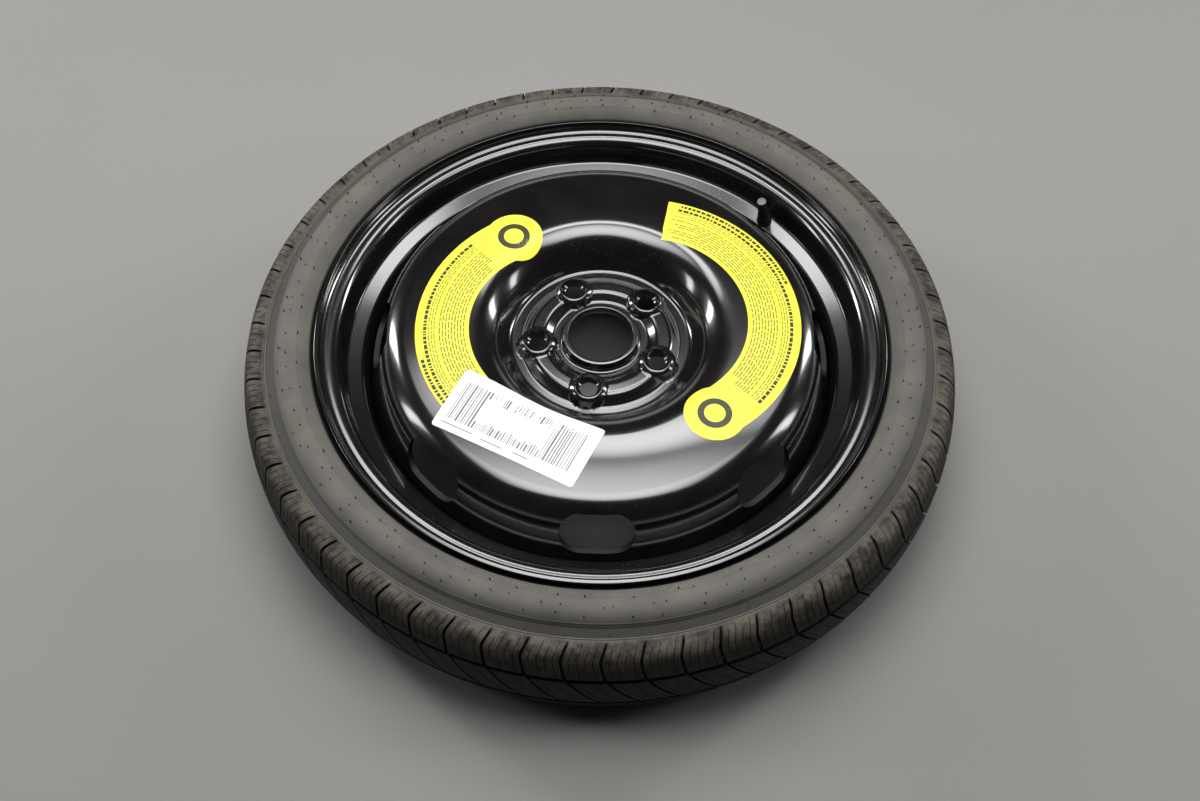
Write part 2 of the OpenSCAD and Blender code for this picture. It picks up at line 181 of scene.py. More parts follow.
def mixed(tree, share, low, high):
    mix = addNode(tree, "ShaderNodeMix", data_type="RGBA")
    for index, value in ((0, share), (6, low), (7, high)):
        if isinstance(value, bpy.types.NodeSocket):
            tree.links.new(value, mix.inputs[index])
        else:
            mix.inputs[index].default_value = value
    return mix.outputs[2]


def ramp(tree, value, low, high, toLow=0.0, toHigh=1.0):
    node = addNode(tree, "ShaderNodeMapRange", [("Value", value)], From_Min=low, From_Max=high,
                   To_Min=toLow, To_Max=toHigh)
    return node.outputs["Result"]


def noise(tree, where, scale, detail=2.0, roughness=0.5):
    return addNode(tree, "ShaderNodeTexNoise", [("Vector", where)], Scale=scale, Detail=detail,
                   Roughness=roughness).outputs["Fac"]


def calc(tree, operation, a, b=None):
    node = tree.nodes.new("ShaderNodeMath")
    node.operation = operation
    for index, value in enumerate((a, b)):
        if isinstance(value, bpy.types.NodeSocket):
            tree.links.new(value, node.inputs[index])
        elif value is not None:
            node.inputs[index].default_value = value
    return node.outputs[0]


# Black stove enamel over pressed steel: deep and glossy, with faint orange peel and pale dust specks on it,
# and a faint film of the dust colour all over, partly dust and partly painted sheen for the brown-grey
# reflection on the crown
paint = {"colour": "#0A0A0B", "dustAndSheen": "#8C8275", "roughness": 0.19, "coat": 1.0, "coatRoughness": 0.075,
         "coatIor": 1.6, "peelSize": 2.2, "peelDepth": 0.0015, "dustSize": 3.0, "patchSize": 60,
         "dustAndSheenFilmSize": 35, "film": (0.008, 0.035)}


def stovedPaint(name, dustShare):
    material, tree, shader = newMaterial(
        name, Roughness=paint["roughness"], IOR=1.5, Coat_Weight=paint["coat"],
        Coat_Roughness=paint["coatRoughness"], Coat_IOR=paint["coatIor"])
    where = addNode(tree, "ShaderNodeTexCoord").outputs["Object"]
    peel = noise(tree, where, 1 / (paint["peelSize"] * mm), 1.0)
    bump = addNode(tree, "ShaderNodeBump", [("Height", peel)], Distance=paint["peelDepth"] * mm, Strength=1.0)
    tree.links.new(bump.outputs["Normal"], shader.inputs["Normal"])
    specks = addNode(tree, "ShaderNodeTexVoronoi", [("Vector", where)], Scale=1 / (paint["dustSize"] * mm))
    near = ramp(tree, specks.outputs["Distance"], dustShare, dustShare * 0.5)
    patches = ramp(tree, noise(tree, where, 1 / (paint["patchSize"] * mm), 3.0), 0.5, 0.72)
    # painted sheen: this faint film of the dust colour lifts the black everywhere, partly dust and partly
    # standing in for a brown-grey reflection
    film = ramp(tree, noise(tree, where, 1 / (paint["dustAndSheenFilmSize"] * mm), 4.0), 0.35, 0.8, *paint["film"])
    share = calc(tree, "MAXIMUM", calc(tree, "MULTIPLY", near, patches), film)
    tree.links.new(mixed(tree, share, toLinear(paint["colour"]), toLinear(paint["dustAndSheen"])),
                   shader.inputs["Base Color"])
    return material


# Tyre rubber, moulded: matt and greyed by bloom and dust. The tread is darker than the sidewall, partly the
# rubber's own colour and partly painted shade, and its shoulders are lightened brown, partly real scuff and
# partly painted light. Grooves go nearly black with their depth, and so does the sidewall's slope in the
# recess by the rim's flange: both are painted shade. Two bands of fine ribs and two rings are bump. The grain
# is drawn coarser than the real one, so that it shows.
rubber = {"tread": ("#171614", "#292724"), "side": ("#5C5A55", "#6D6A64"), "groove": "#0B0B0B",
          "scuffAndLight": "#665F54", "scuffAndLightFrom": 33.0, "scuffAndLightTo": 49.0, "shade": 253.0,
          "roughness": 0.62, "grain": 0.9, "grainDepth": 0.05, "ribPitch": 1.9, "ribDepth": 0.25,
          "bandEdges": (283.5, 289.8), "band": "#3C3C3A",
          "beadBand": (254.5, 260.5), "rings": (262.0, 281.4), "ringWidth": 0.3, "ringHeight": 0.3,
          "dirt": "#77705F", "dirtSize": 22, "cloudSize": 45, "streakSize": 14, "treadFrom": (290.5, 294.5),
          "ribRadius": 286, "edge": 0.4, "depthToBlack": (0.15, 2.6)}


def tyreRubber():
    material, tree, shader = newMaterial("mouldedTyreRubber", Roughness=rubber["roughness"], IOR=1.5,
                                         Specular_IOR_Level=0.22)
    where = addNode(tree, "ShaderNodeTexCoord").outputs["Object"]
    parts = addNode(tree, "ShaderNodeSeparateXYZ", [("Vector", where)])
    x, y, z = (parts.outputs[i] for i in range(3))
    radius = calc(tree, "SQRT", calc(tree, "ADD", calc(tree, "MULTIPLY", x, x), calc(tree, "MULTIPLY", y, y)))
    angle = calc(tree, "ARCTAN2", y, x)
    onTread = ramp(tree, radius, *(r * mm for r in rubber["treadFrom"]))
    cloudy = noise(tree, where, 1 / (rubber["cloudSize"] * mm), 5.0, 0.6)
    side = mixed(tree, ramp(tree, cloudy, 0.3, 0.7), *(toLinear(c) for c in rubber["side"]))
    streaks = noise(tree, where, 1 / (rubber["streakSize"] * mm), 5.0, 0.7)
    # painted shade in part: the tread's colours are darker than the rubber's own, for the shade on a tread
    # that faces away from the lamps
    tread = mixed(tree, ramp(tree, streaks, 0.42, 0.68), *(toLinear(c) for c in rubber["tread"]))
    # brown at the shoulders: partly real scuff and dust, partly painted light on the shoulder that faces the
    # lamps
    nearShoulder = ramp(tree, calc(tree, "ABSOLUTE", z), rubber["scuffAndLightFrom"] * mm,
                        rubber["scuffAndLightTo"] * mm)
    scuffedAndLit = calc(tree, "MULTIPLY", nearShoulder, ramp(tree, streaks, 0.38, 0.62, 0.15, 0.85))
    tread = mixed(tree, scuffedAndLit, tread, toLinear(rubber["scuffAndLight"]))
    dirty = noise(tree, where, 1 / (rubber["dirtSize"] * mm), 8.0, 0.75)
    dirty = ramp(tree, dirty, 0.52, 0.75, 0.0, 0.4)
    side = mixed(tree, dirty, side, toLinear(rubber["dirt"]))

    # 1 between two radii and 0 outside them, with soft edges
    def between(low, high):
        return calc(tree, "MULTIPLY", ramp(tree, radius, (low - rubber["edge"]) * mm, low * mm),
                    ramp(tree, radius, (high + rubber["edge"]) * mm, high * mm))

    inBand = between(*rubber["bandEdges"])
    side = mixed(tree, calc(tree, "MULTIPLY", inBand, 0.7), side, toLinear(rubber["band"]))
    # painted shade: the sidewall's slope in the recess by the rim's flange goes near black
    inShade = ramp(tree, radius, rubber["shade"] * mm, (rubber["shade"] - 1.5) * mm)
    side = mixed(tree, inShade, side, toLinear(rubber["groove"]))
    colour = mixed(tree, onTread, side, tread)
    # painted shade: grooves and sipes go near black with their depth
    depth = addNode(tree, "ShaderNodeAttribute", attribute_name="depth").outputs["Fac"]
    colour = mixed(tree, ramp(tree, depth, *rubber["depthToBlack"]), colour, toLinear(rubber["groove"]))
    tree.links.new(colour, shader.inputs["Base Color"])
    ribCount = round(math.tau * rubber["ribRadius"] / rubber["ribPitch"])
    ribs = calc(tree, "SINE", calc(tree, "MULTIPLY", angle, ribCount))
    ribbed = calc(tree, "ADD", inBand, between(*rubber["beadBand"]))
    ribs = calc(tree, "MULTIPLY", calc(tree, "MULTIPLY", ribs, ribbed), rubber["ribDepth"] / 2)
    for ringRadius in rubber["rings"]:
        ring = between(ringRadius, ringRadius + rubber["ringWidth"])
        ribs = calc(tree, "ADD", ribs, calc(tree, "MULTIPLY", ring, rubber["ringHeight"]))
    grain = noise(tree, where, 1 / (rubber["grain"] * mm), 3.0)
    height = calc(tree, "ADD", ribs, calc(tree, "MULTIPLY", grain, rubber["grainDepth"]))
    bump = addNode(tree, "ShaderNodeBump", [("Height", height)], Distance=mm, Strength=1.0)
    tree.links.new(bump.outputs["Normal"], shader.inputs["Normal"])
    return material


# Two close colours in patches of size mm, and a bump with the same pattern. Real tool marks and mould
# grain are finer than 0.5 mm, and they are drawn coarser so that they show.
def plainMaterial(name, colour, other, size, roughness, bumpDepth=0.0, **settings):
    material, tree, shader = newMaterial(name, Roughness=roughness, **settings)
    where = addNode(tree, "ShaderNodeTexCoord").outputs["Object"]
    fine = noise(tree, where, 1 / (size * mm), 3.0)
    tree.links.new(mixed(tree, ramp(tree, fine, 0.35, 0.7), toLinear(colour), toLinear(other)),
                   shader.inputs["Base Color"])
    if bumpDepth:
        bump = addNode(tree, "ShaderNodeBump", [("Height", fine)], Distance=bumpDepth * mm, Strength=1.0)
        tree.links.new(bump.outputs["Normal"], shader.inputs["Normal"])
    return material


discPaint = stovedPaint("stovedBlackEnamel", 0.11)
# Enamel is thin and dull on an edge that was sheared before it was painted.
shearedEdge = plainMaterial("thinEnamelOnShearedSteel", "#080808", "#131314", 1.5, 0.6, 0.02)
rimPaint = stovedPaint("stovedBlackEnamelRim", 0.14)
tyreSkin = tyreRubber()
# The nibs are drawn near black as painted shade for the small shadows they cast, and the valve's rubber is
# black and smoother
nibPaintedShade = plainMaterial("nibRubberPaintedShade", "#1C1B1A", "#2C2B28", 1.0, 0.6, 0.02)
valveRubber = plainMaterial("mouldedValveRubber", "#161616", "#242424", 1.5, 0.5, 0.02)
# Moulded nylon has a soft sheen, and the cap's flat top is drawn light grey as a painted highlight
capPlastic = plainMaterial("mouldedNylon", "#1B1B1C", "#2A2A2B", 1.0, 0.42, 0.01)
capTopHighlight = plainMaterial("nylonTopPaintedHighlight", "#66676A", "#808284", 0.6, 0.5, 0.02)
# Turned brass is warm and blurred by tool marks, drawn wire is greyer, and the seals are red rubber
brass = plainMaterial("turnedBrass", "#B79A54", "#C9AE6B", 0.8, 0.28, 0.004, Metallic=1.0)
springSteel = plainMaterial("drawnSpringSteel", "#9A9B9D", "#B4B5B6", 0.5, 0.3, 0.002, Metallic=1.0)
sealRubber = plainMaterial("mouldedSealRubber", "#3A1512", "#4A1C18", 0.8, 0.6, 0.01)
# Printed vinyl film is flat, bright and hardly shiny, and its inks let some of the yellow through
vinyl = plainMaterial("printedVinyl", "#FBF346", "#FFF85A", 6.0, 0.36, 0.006, Specular_IOR_Level=0.35)
vinylInk = plainMaterial("greyInk", "#8A8740", "#77753A", 1.2, 0.45)
darkInk = plainMaterial("blackInk", "#33321C", "#3D3B20", 1.2, 0.45)
# Coated paper is nearly white and dull, with grey printer's ink
labelPaper = plainMaterial("coatedPaper", "#F4F4F2", "#FAFAF9", 3.0, 0.5, 0.01)
labelInk = plainMaterial("labelInk", "#606163", "#7A7C7E", 1.0, 0.55)
print("materials made")


# Disc: one smooth skin on each side, bosses and their hollows raised in it, then the holes are cut
disc = {"sheet": 4.5, "boltRadius": 56.0, "boltCount": 5, "firstBolt": 44.2, "boltHole": 7.5,
        "ballRadius": 13.0, "bossTop": 42.0, "bossRadius": 12.5, "handCount": 8, "handWidth": 62.0,
        "handRound": 16.0, "handLow": 17.0, "handHigh": 52.7, "handReach": (173, 216), "columns": 288,
        "knots": [(33.05, 43.3), (33.05, 34.5, 3.5), (42, 34.5, 6), (50, 39.5, 8), (62, 39.5, 8),
                  (70, 32.5, 4), (80, 32.5, 6), (99.5, 62, 35), (140, 62, 317), (188.3, 58.2, 28.5),
                  (207, 3, 10), (207, -12)],
        # inside fineRadius the bosses need short steps; the hub is where they can rise
        "fineRadius": 80.5, "fineStep": 1.35, "hub": (34.5, 82),
        # heights by the distance from a bolt's axis, and how softly they blend with the sheet
        "boss": ([0, 12.3, 15.8, 17.4, 20], [42, 42, 39.6, 32.5, 20]), "bossBlend": 1.6,
        "hollow": ([0, 9.2, 12.2, 13.6, 16], [36.4, 36.4, 34, 27, 10]), "hollowBlend": 1.2}
discLine = rounded(disc["knots"], 3.8)
boltSpots = [disc["boltRadius"] * np.array([math.cos(a), math.sin(a)]) for a in
             (math.radians(disc["firstBolt"]) + np.arange(disc["boltCount"]) * math.tau / disc["boltCount"])]


def smoothMax(a, b, k):
    h = np.clip(0.5 + 0.5 * (a - b) / k, 0, 1)
    return b + (a - b) * h + k * h * (1 - h)


def fromBolt(x, y):
    return np.min([np.hypot(x - p[0], y - p[1]) for p in boltSpots], axis=0)


def makeDisc():
    fine = discLine[:, 0] < disc["fineRadius"]
    top = np.vstack([resampled(discLine[fine], disc["fineStep"]), discLine[~fine]])
    top = np.vstack([top[:-1], resampled(top[-2:], 5)[1:]])
    under = shifted(top, -disc["sheet"])
    angles = np.arange(disc["columns"]) * math.tau / disc["columns"]

    def skin(line, above):
        r, z = line[:, 0][:, None], line[:, 1][:, None] + 0 * angles
        x, y = r * np.cos(angles), r * np.sin(angles)
        d = fromBolt(x, y)
        onHub = (r > disc["hub"][0]) & (r < disc["hub"][1])
        raised = np.interp(d, *disc["boss" if above else "hollow"])
        blend = disc["bossBlend" if above else "hollowBlend"]
        z = np.where(onHub, smoothMax(z, raised, blend), z)
        return np.stack([x, y, z], axis=2).reshape(-1, 3)

    collar, end = disc["knots"][0]
    bore = collar - disc["sheet"]
    top[0][1] = under[0][1] = end - 1
    lip = rounded([(bore, end - 1), (bore, end, 0.5), (collar, end, 0.5), (collar, end - 1)], 15)[1:-1]
    points = np.vstack([skin(top, True), skin(under[::-1], False), skin(lip, True)])
    faces = [f[::-1] for f in gridFaces(2 * len(top) + len(lip), disc["columns"], closedRows=True)]
    return makeObject("disc_shell", points, faces, discPaint, 50)


# A ball for the bolt's seat, with a straight hole below it
def ballCutter(spot):
    lift = disc["bossTop"] + math.sqrt(disc["ballRadius"] ** 2 - (disc["bossRadius"] - 1) ** 2)
    low = -math.sqrt(disc["ballRadius"] ** 2 - disc["boltHole"] ** 2)
    first = math.asin(low / disc["ballRadius"])
    arc = [(disc["ballRadius"] * math.cos(a), lift + disc["ballRadius"] * math.sin(a))
           for a in np.linspace(first, math.radians(80), 24)]
    outline = np.array([(0.01, 20), (disc["boltHole"], 20)] + arc + [(0.01, lift + disc["ballRadius"])])
    cutter = revolved("cutter", outline, 72, discPaint)
    cutter.data.transform(Matrix.Translation(Vector((*spot, 0)) * mm))
    return cutter


def handCutter(angle):
    r = disc["handRound"]
    w = disc["handWidth"] / 2 - r
    h = (disc["handHigh"] - disc["handLow"]) / 2 - r
    middle = (disc["handHigh"] + disc["handLow"]) / 2
    loop = [(sx * w + r * math.cos(a), middle + sy * h + r * math.sin(a))
            for sx, sy, start in ((1, 1, 0), (-1, 1, 90), (-1, -1, 180), (1, -1, 270))
            for a in np.radians(np.linspace(start, start + 90, 13))]
    points = [(x, p[0], p[1]) for x in disc["handReach"] for p in loop]
    n = len(loop)
    faces = [tuple(range(n))[::-1], tuple(range(n, 2 * n))] + gridFaces(2, n)
    cutter = makeObject("cutter", points, faces, shearedEdge)
    cutter.data.transform(Matrix.Rotation(angle, 4, "Z"))
    return cutter


discShell = makeDisc()
cutFrom(discShell, [ballCutter(p) for p in boltSpots]
        + [handCutter(i * math.tau / disc["handCount"]) for i in range(disc["handCount"])])
discShell.data.shade_smooth()
discShell.data.set_sharp_from_angle(angle=math.radians(42))
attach(discShell, "wheel")
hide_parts("disc")
print("disc made,", len(discShell.data.polygons), "faces")


# Rim: rolled sheet, the side that faces the axis first
rim = {"sheet": 3.2, "columns": 300, "tip": 57.45, "flangeIn": 245.1, "flangeZ": 47.65, "flangeRound": 6.3,
       "seat": 228.388, "seatRound": 9.7, "taper": 5.0, "halfWidth": 44.45, "edgeFall": 0.55,
       "ledge": [(226.54, 23.3, 5), (210.5, 19, 5)], "well": [(207, 8, 10), (207, -18, 8)],
       "wellStep": 3, "wellRise": (26, 28), "wellRound": 6}


def seatRadius(z):
    return rim["seat"] - (rim["halfWidth"] - z) * math.tan(math.radians(rim["taper"]))


def makeRim():
    low, high = rim["wellRise"]
    line = rounded([
        (rim["flangeIn"], rim["tip"]), (rim["flangeIn"], rim["flangeZ"], rim["flangeRound"]),
        (seatRadius(rim["flangeZ"]), rim["flangeZ"], rim["seatRound"]), *rim["ledge"], *rim["well"],
        (seatRadius(low) - rim["wellStep"], -low, rim["wellRound"]),
        (seatRadius(high), -high, rim["wellRound"]),
        (seatRadius(rim["flangeZ"]), -rim["flangeZ"], rim["seatRound"]),
        (rim["flangeIn"], -rim["flangeZ"], rim["flangeRound"]), (rim["flangeIn"], -rim["tip"])], 5)
    back = shifted(line, rim["sheet"])
    root, outer = rim["tip"] - rim["sheet"] / 2, rim["flangeIn"] + rim["sheet"]
    # the sheared edge: nearly flat, falling outward by edgeFall
    edge = rounded([(rim["flangeIn"], root), (rim["flangeIn"], rim["tip"], 0.5),
                    (outer, rim["tip"] - rim["edgeFall"], 0.6), (outer, root)], 15)[1:-1]
    line[0][1], line[-1][1], back[0][1], back[-1][1] = root, -root, root, -root
    outline = np.vstack([line, edge * (1, -1), back[::-1], edge[::-1]])
    return revolved("rim_shell", outline, rim["columns"], rimPaint, sharp=50)


rimShell = makeRim()
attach(rimShell, "wheel")
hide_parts("rim")
print("rim made")


# Tyre: columns of the mesh follow the cross grooves, so that a groove is cut by lowering a few columns
tyre = {"width": 125.0, "radius": 316.1, "crown": 119.3, "treadWidth": 100.0, "shoulder": 12.5,
        "pitches": 63, "side": 6.5, "underTread": 13.0, "bead": 13.0, "recess": 51.5, "edge": 3.4,
        "grooveDepth": 4.0, "ringZ": 21.0, "ringWidth": 5.0, "ringDeeper": 0.5,
        # heights of mesh rows on the crown, inside and outside the groove that runs round the tyre
        "innerRows": (0, 8, 15), "outerRow": 29,
        # from the tread's edge inward: how far the cross grooves swing along the tyre
        "lean": ([0, 14, 18, 22, 38, 61.4], [1.2, -3.5, -4, -3.5, 0, 15]),
        "cross": 2.6, "sipe": 0.6, "sipeDepth": 1.8, "flatShare": 0.36,
        # from the tread's edge inward: depths as shares of the full depth
        "crossDepths": ([0, 6, 61], [0.04, 1, 0.9]), "longSipe": ([2, 5, 31, 34], [0, 1, 1, 0]),
        "shortSipe": ([6, 9, 22, 25, 44, 46], [0, 1, 1, 0, 0, 1])}


# The outline of one half runs from the crown's middle over side and bead and back along the inside
def makeTyre():
    crownMid = tyre["radius"] - tyre["crown"]
    reach = tyre["crown"] - tyre["shoulder"]
    half = tyre["treadWidth"] / 2
    shoulderZ = half - tyre["shoulder"]
    tilt = math.asin(shoulderZ / reach)
    shoulderMid = crownMid + reach * math.cos(tilt)
    shoulderIn = shoulderMid - tyre["edge"]
    # rows of the tread: point, outward direction, distance from the tread's edge, depth of a ring groove
    rows = []
    bend = tyre["shoulder"] * (math.pi / 2 - tilt)
    whole = tyre["edge"] + bend + tyre["crown"] * tilt
    low, high = tyre["ringZ"] - tyre["ringWidth"] / 2, tyre["ringZ"] + tyre["ringWidth"] / 2
    ringDepth = tyre["grooveDepth"] + tyre["ringDeeper"]
    for z in (*tyre["innerRows"], low - 0.01, low + 0.5, high - 0.5, high + 0.01, tyre["outerRow"]):
        a = math.asin(z / tyre["crown"])
        n = np.array([math.cos(a), math.sin(a)])
        rows.append((np.array([crownMid, 0]) + tyre["crown"] * n, n, whole - tyre["crown"] * a,
                     ringDepth if low < z < high else 0))
    for i in range(9):
        a = tilt + (math.pi / 2 - tilt) * i / 8
        n = np.array([math.cos(a), math.sin(a)])
        rows.append((np.array([shoulderMid, shoulderZ]) + tyre["shoulder"] * n, n,
                     tyre["edge"] + bend * (1 - i / 8), 0))
    for s in (1.0, 0.0):
        rows.append((np.array([shoulderIn + s, half]), np.array([0, 1.0]), s, 0))
    side = rounded([(shoulderIn, half), (shoulderIn - 1.3, half - 0.1), (shoulderIn - 1.5, half - 0.7),
                    (shoulderIn - 1.9, half - 0.7), (shoulderIn - 2.1, half), (shoulderIn - 3.0, half),
                    (shoulderIn - 3.4, half - 0.7), (shoulderIn - 10, half + 2.7),
                    (shoulderIn - 10.3, half + 3.6), (rim["flangeIn"] + 32.4, tyre["width"] / 2, 15),
                    (rim["flangeIn"] + 13, tyre["width"] / 2, 20),
                    (rim["flangeIn"] + 5.25, tyre["recess"])], 8)[1:]
    toe = rim["halfWidth"] - tyre["bead"]
    bead = rounded([(rim["flangeIn"], rim["tip"]), (rim["flangeIn"], rim["flangeZ"], rim["flangeRound"]),
                    (seatRadius(rim["flangeZ"]), rim["flangeZ"], rim["seatRound"]),
                    (seatRadius(toe), toe)], 12)
    bead = shifted(bead, rim["sheet"] + 0.1)
    bead = bead[bead[:, 1] < tyre["recess"]]
    innerSide, innerRadius = tyre["width"] / 2 - tyre["side"], tyre["radius"] - tyre["underTread"]
    lining = rounded([bead[-1], (seatRadius(0) + 12, toe + 2, 4),
                      (rim["flangeIn"] + 7, rim["flangeZ"] - 1, 8), (rim["flangeIn"] + 22, innerSide, 10),
                      (shoulderIn - 7, half - tyre["side"] + 1, 10),
                      (shoulderMid + 2, shoulderZ - tyre["side"], 8), (innerRadius, 12),
                      (innerRadius, 0)], 40)[1:]
    upper = rows + [(p, np.zeros(2), None, 0) for p in np.vstack([side, bead, lining])]

    # columns: a cross groove with four thin sipes behind it in each pitch, and plain rubber between them
    pitch = math.tau * tyre["radius"] / tyre["pitches"]
    columns = []
    for i in range(tyre["pitches"]):
        for k in range(5):
            at = (i + k / 5) * pitch
            wide, kind = (tyre["sipe"], 2 + k % 2) if k else (tyre["cross"], 1)
            flat = wide * tyre["flatShare"]
            columns += [(at - wide / 2, 0), (at - flat, kind), (at + flat, kind), (at + wide / 2, 0),
                        (at + pitch / 10, 0)]
    at = np.array([c[0] for c in columns]) / tyre["radius"]
    kind = np.array([c[1] for c in columns])
    last = tyre["lean"][1][-1]

    def surface(row, sign):
        point, normal, s, ringDepth = row
        lean = np.interp(s or 0, *tyre["lean"])
        cuts = [0, 0, 0, 0]
        if s is not None:
            cuts = [0, tyre["grooveDepth"] * np.interp(s, *tyre["crossDepths"]),
                    tyre["sipeDepth"] * np.interp(s, *tyre["longSipe"]),
                    tyre["sipeDepth"] * np.interp(s, *tyre["shortSipe"])]
        depth = np.maximum(np.choose(kind, cuts), ringDepth)
        p = point[None, :] - normal[None, :] * depth[:, None]
        turn = at + (lean - last if sign > 0 else last - lean) / tyre["radius"]
        return np.stack([p[:, 0] * np.cos(turn), p[:, 0] * np.sin(turn), sign * p[:, 1]], axis=1), depth

    # below the tread only one column in five goes on, and faces with eight corners lead over to it
    few = [i for i in range(len(columns)) if i % 5 == 4]
    order = [(row, 1) for row in upper] + [(row, -1) for row in upper[1:-1]][::-1]
    points, depths, starts = [], [], [0]
    for row, sign in order:
        p, depth = surface(row, sign)
        points.append(p[few] if row[2] is None else p)
        depths.append(depth[few] if row[2] is None else depth)
        starts.append(starts[-1] + len(points[-1]))
    faces = []
    for i in range(len(order)):
        j = (i + 1) % len(order)
        a, b, m, n = starts[i], starts[j], len(points[i]), len(points[j])
        if m == n:
            faces += [(a + k, a + (k + 1) % m, b + (k + 1) % n, b + k) for k in range(m)]
        elif m > n:
            faces += [tuple(a + (few[k] + q) % m for q in range(6)) + (b + (k + 1) % n, b + k)
                      for k in range(n)]
        else:
            faces += [(a + k, a + (k + 1) % m) + tuple(b + (few[k] + q) % n for q in range(5, -1, -1))
                      for k in range(m)]
    piece = makeObject("tyre_shell", np.vstack(points), faces, tyreSkin, 38)
    mark = piece.data.attributes.new("depth", "FLOAT", "POINT")
    mark.data.foreach_set("value", np.concatenate(depths).astype(np.float32))
    return piece


# Vent nibs on the outer sidewall: rows of (radius, height, count) of rubber hairs that lean a little,
# cut so that none stands more than past outside the tyre's width
nib = {"rows": ((262, 62.4, 60), (270, 62.4, 84), (277.5, 61.3, 60), (287, 49.4, 50)), "sides": 6,
       "thick": (0.45, 0.7), "tall": (1.4, 2.6), "root": -0.6, "past": 1.9}


def makeNibs():
    picks = np.random.default_rng(5)
    points, faces = [], []
    n = nib["sides"]
    top = tyre["width"] / 2 + nib["past"]
    for radius, height, count in nib["rows"]:
        for i in range(count):
            a = math.tau * (i + picks.uniform(-0.35, 0.35)) / count
            r = radius + picks.uniform(-1.5, 1.5)
            thick, tall = picks.uniform(*nib["thick"]), picks.uniform(*nib["tall"])
            lean = picks.uniform(-1, 1, 2)
            start = len(points)
            for z, wide in ((nib["root"], thick), (tall, thick * 0.7)):
                shift = lean * (0.5 if z > 0 else 0)
                points += [(r * math.cos(a) + wide * math.cos(t) + shift[0],
                            r * math.sin(a) + wide * math.sin(t) + shift[1], min(height + z, top))
                           for t in np.arange(n) * math.tau / n]
            faces += numberedFrom(start, gridFaces(2, n))
            faces.append(tuple(start + n + k for k in range(n)))
    return makeObject("vent_nibs", points, faces, nibPaintedShade, 60)


nibs = makeNibs()
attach(nibs, "wheel")
tyreShell = makeTyre()
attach(tyreShell, "wheel")
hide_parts("tyre")
print("tyre made,", len(tyreShell.data.polygons), "faces")


# Stickers: flat outlines laid on the face of the disc. Places are (side, middle, angle of the straight end)
crownLine = discLine[(discLine[:, 0] > disc["hub"][1]) & (discLine[:, 1] > 20)]
sticker = {"inner": 91.0, "width": 46.5, "endRadius": 26.0, "arc": 139.0, "film": 0.12, "glue": 0.03,
           "grid": 2.5, "ink": 0.02, "ring": (14.5, 9.0),
           "places": (("right", (37, 4.7), 80), ("left", (-23.3, -4.8), 259))}


def onDisc(flat, lift):
    flat = np.asarray(flat, float)
    r = np.hypot(flat[:, 0], flat[:, 1])
    normals = sideNormals(crownLine)
    z = np.interp(r, crownLine[:, 0], crownLine[:, 1])
    outward = np.interp(r, crownLine[:, 0], normals[:, 0])
    upward = np.interp(r, crownLine[:, 0], normals[:, 1])
    grown = (r + outward * lift) / np.maximum(r, 1)
    return np.stack([flat[:, 0] * grown, flat[:, 1] * grown, z + upward * lift], axis=1)


def inside(points, loop):
    x, y = points[:, 0][:, None], points[:, 1][:, None]
    a, b = loop, np.roll(loop, -1, axis=0)
    rise = np.where(b[:, 1] == a[:, 1], 1e-9, b[:, 1] - a[:, 1])
    crosses = ((a[:, 1] > y) != (b[:, 1] > y)) & (x < (b[:, 0] - a[:, 0]) * (y - a[:, 1]) / rise + a[:, 0])
    return crosses.sum(axis=1) % 2 == 1


# A film with the outline of loop on the disc, with points inside it so that it bends
def patch(name, loop, lift, material, grid):
    loop = np.asarray(loop, float)
    least, most = loop.min(0), loop.max(0)
    xs, ys = np.arange(least[0], most[0], grid), np.arange(least[1], most[1], grid)
    dots = np.stack(np.meshgrid(xs, ys), axis=2).reshape(-1, 2)
    dots = dots[inside(dots, loop)]
    apart = dots[:, None] - loop[None, :]
    dots = dots[np.min(np.hypot(apart[:, :, 0], apart[:, :, 1]), axis=1) > grid * 0.4]
    n = len(loop)
    flat, _, faces, *_ = delaunay_2d_cdt([Vector(p) for p in np.vstack([loop, dots])],
                                         [(i, (i + 1) % n) for i in range(n)], [], 1, 1e-5)
    flat = np.array([tuple(p) for p in flat])
    top, under = onDisc(flat, lift), onDisc(flat, lift - sticker["film"] * 0.8)
    count = len(flat)
    sides = {(a, b) for f in faces for a, b in zip(f, f[1:] + f[:1])}
    edges = [e for e in sides if (e[1], e[0]) not in sides]
    allFaces = [tuple(f) for f in faces] + numberedFrom(count, [f[::-1] for f in faces])
    allFaces += [(b, a, a + count, b + count) for a, b in edges]
    return makeObject(name, np.vstack([top, under]), allFaces, material, 60)


# The band's outline: outer arc, round end, inner arc, and the straight end between them
def bandLoop(middle, straightAt):
    inner, outer = sticker["inner"], sticker["inner"] + sticker["width"]
    mean, endR = (inner + outer) / 2, sticker["endRadius"]
    start, stop = math.radians(straightAt), math.radians(straightAt - sticker["arc"])
    endMid = mean * np.array([math.cos(stop), math.sin(stop)])

    # angle at which the round end crosses an arc of the band
    def meets(r):
        return math.acos((mean ** 2 + r ** 2 - endR ** 2) / (2 * mean * r))

    def arc(r, a, b, steps):
        return [(r * math.cos(t), r * math.sin(t)) for t in np.linspace(a, b, steps)]

    outerStop, innerStop = stop + meets(outer), stop + meets(inner)
    loop = arc(outer, start, outerStop, 90)
    p, q = np.array(loop[-1]) - endMid, np.array(arc(inner, innerStop, innerStop, 1)[0]) - endMid
    a, b = math.atan2(p[1], p[0]), math.atan2(q[1], q[0])
    b = b - math.tau if b > a else b
    loop += [tuple(endMid + endR * np.array([math.cos(t), math.sin(t)])) for t in np.linspace(a, b, 40)[1:-1]]
    loop += arc(inner, innerStop, start, 70)
    return np.array(loop) + np.array(middle), endMid + np.array(middle)


